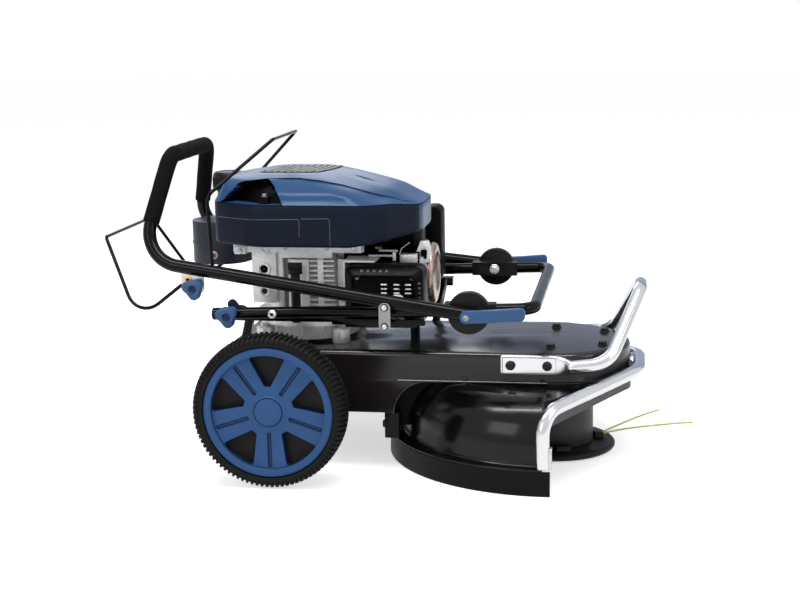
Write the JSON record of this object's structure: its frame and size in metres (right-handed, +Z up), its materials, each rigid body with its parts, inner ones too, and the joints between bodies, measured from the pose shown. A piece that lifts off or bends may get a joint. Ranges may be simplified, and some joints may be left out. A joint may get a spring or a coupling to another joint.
{
  "type": "wheeled string trimmer",
  "caption": "Walk-behind wheeled string trimmer with a vertical-shaft engine, folding tube handle, wire bails, bumper hoops and a guarded line head.",
  "frame": {"origin": "middle of the machine's length and width, on the floor under its tyres and skirt, measured without the cutting line", "axes": "+X forward towards the trimmer head, +Y to the machine's left, +Z up"},
  "size_m": [0.9927, 0.584, 0.543],
  "materials": {
    "deck_paint": "gloss black paint",
    "guard_paint": "gloss black paint",
    "skirt_rubber": "black flexible skirt",
    "bumper_chrome": "polished chrome plate",
    "zinc_steel": "bright zinc plate",
    "dark_steel": "dark bare steel",
    "tube_paint": "gloss black powder coat",
    "bolt_black": "black oxide",
    "grip_foam": "matt closed foam",
    "cover_blue": "gloss blue",
    "rim_blue": "matt blue",
    "knob_blue": "satin blue",
    "band_navy": "satin dark blue",
    "black_plastic": "satin black",
    "tank_plastic": "satin blue grey",
    "cast_aluminium": "bare casting",
    "grey_iron": "machined iron",
    "yellow_zinc": "yellow zinc plate",
    "tyre_rubber": "black tread rubber",
    "belt_rubber": "woven belt rubber",
    "line_nylon": "yellow-green nylon"
  },
  "bodies": {
    "frame": {"deck_shell": "deck_paint", "machine_bolts": "bolt_black", "cutter_guard": "guard_paint", "guard_skirt": "skirt_rubber", "guard_brackets": "black_plastic", "spindle_housing": "cast_aluminium", "spindle_bearings": "zinc_steel", "upper_bumper": "bumper_chrome", "lower_bumper": "bumper_chrome", "handle_brackets": "tube_paint", "strap_plates": "zinc_steel", "lock_nuts": "knob_blue", "axle": "zinc_steel", "sump_base": "cast_aluminium", "crankcase": "cast_aluminium", "cylinder_barrel": "cast_aluminium", "valve_cover": "yellow_zinc", "muffler": "dark_steel", "muffler_guard": "tube_paint", "spark_plug": "black_plastic", "carburettor": "cast_aluminium", "air_filter_box": "black_plastic", "fuel_tank": "tank_plastic", "shroud_band": "band_navy", "shroud_cover": "cover_blue", "cover_grille": "black_plastic", "dipstick_tube": "black_plastic", "drive_belt": "belt_rubber"},
    "crank": {"crankshaft": "dark_steel", "flywheel": "grey_iron", "drive_pulley": "grey_iron"},
    "starter": {"starter_pulley": "black_plastic"},
    "cutter": {"spindle": "dark_steel", "driven_pulley": "grey_iron", "head_drum": "black_plastic", "head_disc": "black_plastic", "trim_line_a": "line_nylon", "trim_line_b": "line_nylon"},
    "idler": {"idler_arm": "zinc_steel"},
    "idler_wheel": {"idler_pulley": "black_plastic"},
    "right_wheel": {"right_rim": "rim_blue", "right_tyre": "tyre_rubber"},
    "left_wheel": {"left_rim": "rim_blue", "left_tyre": "tyre_rubber"},
    "lower": {"lower_handle": "tube_paint", "pivot_sleeves": "black_plastic"},
    "tail_knob_r": {"tail_knob_right": "knob_blue"},
    "tail_knob_l": {"tail_knob_left": "knob_blue"},
    "upper": {"upper_handle": "tube_paint", "foam_grip": "grip_foam", "pivot_discs": "black_plastic", "bail_brackets": "zinc_steel"},
    "lever_r": {"lever_right": "knob_blue"},
    "lever_l": {"lever_left": "knob_blue"},
    "bail_knob_r": {"bail_knob_right": "knob_blue"},
    "bail_knob_l": {"bail_knob_left": "knob_blue"},
    "front_bail": {"front_bail": "tube_paint"},
    "rear_bail": {"rear_bail": "tube_paint"},
    "fuel_cap": {"fuel_cap": "black_plastic"},
    "dipstick_cap": {"dipstick_cap": "knob_blue"}
  },
  "joints": [
    {"name": "right_wheel_spin", "type": "hinge", "parent": "frame", "child": "right_wheel", "pos_m": [-0.1365, -0.266, 0.125], "axis": [0, 1, 0], "continuous": true},
    {"name": "left_wheel_spin", "type": "hinge", "parent": "frame", "child": "left_wheel", "pos_m": [-0.1365, 0.266, 0.125], "axis": [0, 1, 0], "continuous": true},
    {"name": "crank_spin", "type": "hinge", "parent": "frame", "child": "crank", "pos_m": [-0.1265, 0, 0.2], "axis": [0, 0, 1], "continuous": true},
    {"name": "cutter_spin", "type": "hinge", "parent": "frame", "child": "cutter", "pos_m": [0.2975, 0, 0.1], "axis": [0, 0, 1], "continuous": true},
    {"name": "starter_spin", "type": "hinge", "parent": "frame", "child": "starter", "pos_m": [-0.1265, 0, 0.455], "axis": [0, 0, 1], "continuous": true},
    {"name": "idler_swing", "type": "hinge", "parent": "frame", "child": "idler", "pos_m": [0.0485, 0.104, 0.175], "axis": [0, 0, -1], "range_deg": [0, 6]},
    {"name": "idler_spin", "type": "hinge", "parent": "idler", "child": "idler_wheel", "pos_m": [0.1135, 0.0741, 0.162], "axis": [0, 0, 1], "continuous": true},
    {"name": "lower_fold", "type": "hinge", "parent": "frame", "child": "lower", "pos_m": [-0.1445, 0, 0.268], "axis": [0, -1, 0], "range_deg": [0, 140]},
    {"name": "upper_fold", "type": "hinge", "parent": "lower", "child": "upper", "pos_m": [0.1775, 0, 0.27776], "axis": [0, -1, 0], "range_deg": [-170, 0]},
    {"name": "tail_knob_right_turn", "type": "hinge", "parent": "lower", "child": "tail_knob_r", "pos_m": [-0.2165, -0.206, 0.26582], "axis": [0, -1, 0], "continuous": true},
    {"name": "tail_knob_left_turn", "type": "hinge", "parent": "lower", "child": "tail_knob_l", "pos_m": [-0.2165, 0.206, 0.26582], "axis": [0, 1, 0], "continuous": true},
    {"name": "lever_right_turn", "type": "hinge", "parent": "upper", "child": "lever_r", "pos_m": [0.1775, -0.248, 0.27776], "axis": [0, -1, 0], "range_deg": [0, 75]},
    {"name": "lever_left_turn", "type": "hinge", "parent": "upper", "child": "lever_l", "pos_m": [0.1775, 0.248, 0.27776], "axis": [0, -1, 0], "range_deg": [0, 75]},
    {"name": "bail_knob_right_turn", "type": "hinge", "parent": "upper", "child": "bail_knob_r", "pos_m": [-0.2775, -0.186, 0.307], "axis": [0, -1, 0], "continuous": true},
    {"name": "bail_knob_left_turn", "type": "hinge", "parent": "upper", "child": "bail_knob_l", "pos_m": [-0.2775, 0.186, 0.307], "axis": [0, 1, 0], "continuous": true},
    {"name": "front_bail_squeeze", "type": "hinge", "parent": "upper", "child": "front_bail", "pos_m": [-0.2515, 0, 0.33351], "axis": [0, -1, 0], "range_deg": [0, 38], "stiffness_Nm_per_rad": 1.5},
    {"name": "rear_bail_squeeze", "type": "hinge", "parent": "upper", "child": "rear_bail", "pos_m": [-0.2905, 0, 0.319], "axis": [0, 1, 0], "range_deg": [0, 25], "stiffness_Nm_per_rad": 1.5},
    {"name": "fuel_cap_turn", "type": "hinge", "parent": "frame", "child": "fuel_cap", "pos_m": [-0.2845, 0.066, 0.438], "axis": [0, 0, 1], "continuous": true},
    {"name": "dipstick_cap_turn", "type": "hinge", "parent": "frame", "child": "dipstick_cap", "pos_m": [-0.1295, -0.1, 0.316], "axis": [0, 0, 1], "continuous": true}
  ],
  "couplings": [
    {"joint": "cutter_spin", "follows": "crank_spin", "ratio": 0.69231},
    {"joint": "upper_fold", "follows": "lower_fold", "ratio": -1.2143},
    {"joint": "idler_swing", "follows": "front_bail_squeeze", "ratio": 0.14474}
  ]
}
